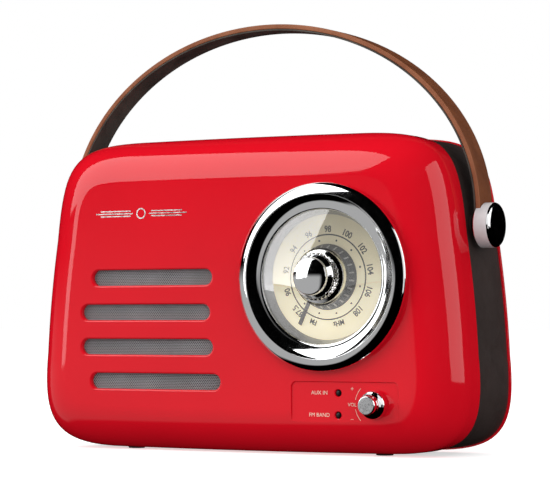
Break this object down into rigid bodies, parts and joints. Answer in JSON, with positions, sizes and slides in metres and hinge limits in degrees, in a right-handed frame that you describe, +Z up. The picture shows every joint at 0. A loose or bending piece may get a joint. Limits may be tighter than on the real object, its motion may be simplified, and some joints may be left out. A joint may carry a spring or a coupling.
{
  "type": "portable radio",
  "caption": "Portable FM radio with a rounded plastic case, round tuning dial, slotted speaker grille, volume knob, telescopic aerial and an arched leather strap handle.",
  "frame": {"origin": "on the surface the radio stands on, under the middle of the whole radio's box", "axes": "+X to the right seen from the front, +Y towards the back, +Z up"},
  "size_m": [0.2728, 0.1056, 0.2347],
  "materials": {
    "red_plastic": "gloss",
    "dark_plastic": "satin",
    "black_plastic": "satin",
    "chrome": "polished",
    "steel": "plain",
    "satin_grey": "satin",
    "grille_mesh": "woven",
    "cream_plate": "printed",
    "window_glass": "clear",
    "leather": "grained",
    "lining": "suede",
    "rubber": "matt",
    "circuit_board": "solder mask",
    "cone_paper": "pressed",
    "cell_sleeve": "shrink sleeve",
    "brass": "plated"
  },
  "bodies": {
    "case": {"front_shell": "red_plastic", "middle_band": "dark_plastic", "rear_cover": "red_plastic", "foot_front_left": "rubber", "foot_front_right": "rubber", "foot_rear_left": "rubber", "foot_rear_right": "rubber", "case_screw_upper_left": "steel", "case_screw_upper_right": "steel", "case_screw_lower_left": "steel", "case_screw_lower_right": "steel", "speaker_grille": "grille_mesh", "speaker_basket": "steel", "speaker_magnet": "black_plastic", "dial_bezel": "chrome", "dial_window": "window_glass", "dial_ring": "satin_grey", "scale_plate": "cream_plate", "dial_cup": "black_plastic", "tuning_capacitor": "steel", "volume_control": "steel", "control_board": "circuit_board", "aux_light": "black_plastic", "fm_light": "black_plastic", "pivot_washer_left": "satin_grey", "pivot_washer_right": "satin_grey", "battery_cell": "cell_sleeve", "main_board": "circuit_board", "socket_panel": "black_plastic", "usb_socket": "steel", "aux_socket": "black_plastic", "charge_socket": "steel"},
    "handle": {"strap_leather": "leather", "strap_lining": "lining", "strap_boss_left": "chrome", "strap_boss_right": "chrome", "pivot_pin_left": "steel", "pivot_pin_right": "steel", "pivot_nut_left": "brass", "pivot_nut_right": "brass"},
    "tuning": {"tuning_knob": "chrome", "tuning_shaft": "steel", "tuning_collar": "satin_grey", "pointer": "dark_plastic"},
    "volume": {"volume_knob": "chrome", "volume_shaft": "steel"},
    "speaker_moving": {"speaker_cone": "cone_paper", "speaker_dust_cap": "cone_paper"},
    "aerial_turret": {"aerial_foot": "black_plastic", "aerial_pin": "steel"},
    "aerial_arm": {"aerial_outer_tube": "chrome"},
    "aerial_middle": {"aerial_middle_tube": "chrome"},
    "aerial_tip": {"aerial_tip_rod": "chrome"},
    "battery_door": {"battery_door": "red_plastic"},
    "power_slider": {"power_slider": "black_plastic"},
    "mode_button": {"mode_button": "black_plastic"}
  },
  "joints": [
    {"name": "handle_swing", "type": "hinge", "parent": "case", "child": "handle", "pos_m": [0, 0.0108, 0.1215], "axis": [1, 0, 0], "range_deg": [-80, 85]},
    {"name": "tuning_turn", "type": "hinge", "parent": "case", "child": "tuning", "pos_m": [0.057, -0.0352, 0.0942], "axis": [0, 1, 0], "range_deg": [0, 262]},
    {"name": "volume_turn", "type": "hinge", "parent": "case", "child": "volume", "pos_m": [0.0872, -0.0352, 0.0276], "axis": [0, 1, 0], "range_deg": [0, 280]},
    {"name": "cone_travel", "type": "slide", "parent": "case", "child": "speaker_moving", "axis": [0, 1, 0], "range_m": [-0.0015, 0.0015], "stiffness_N_per_m": 1500},
    {"name": "aerial_swivel", "type": "hinge", "parent": "case", "child": "aerial_turret", "pos_m": [-0.092, 0.0498, 0.152], "axis": [0, -1, 0], "range_deg": [0, 180]},
    {"name": "aerial_tilt", "type": "hinge", "parent": "aerial_turret", "child": "aerial_arm", "pos_m": [-0.092, 0.0498, 0.152], "axis": [0, 0, 1], "range_deg": [0, 90]},
    {"name": "aerial_extend_middle", "type": "slide", "parent": "aerial_arm", "child": "aerial_middle", "axis": [1, 0, 0], "range_m": [0, 0.135]},
    {"name": "aerial_extend_tip", "type": "slide", "parent": "aerial_middle", "child": "aerial_tip", "axis": [1, 0, 0], "range_m": [0, 0.135]},
    {"name": "battery_door_swing", "type": "hinge", "parent": "case", "child": "battery_door", "pos_m": [0, 0.0447, 0.0253], "axis": [-1, 0, 0], "range_deg": [0, 80]},
    {"name": "power_slide", "type": "slide", "parent": "case", "child": "power_slider", "axis": [1, 0, 0], "range_m": [0, 0.004]},
    {"name": "mode_press", "type": "slide", "parent": "case", "child": "mode_button", "axis": [0, -1, 0], "range_m": [0, 0.0012], "stiffness_N_per_m": 600}
  ]
}
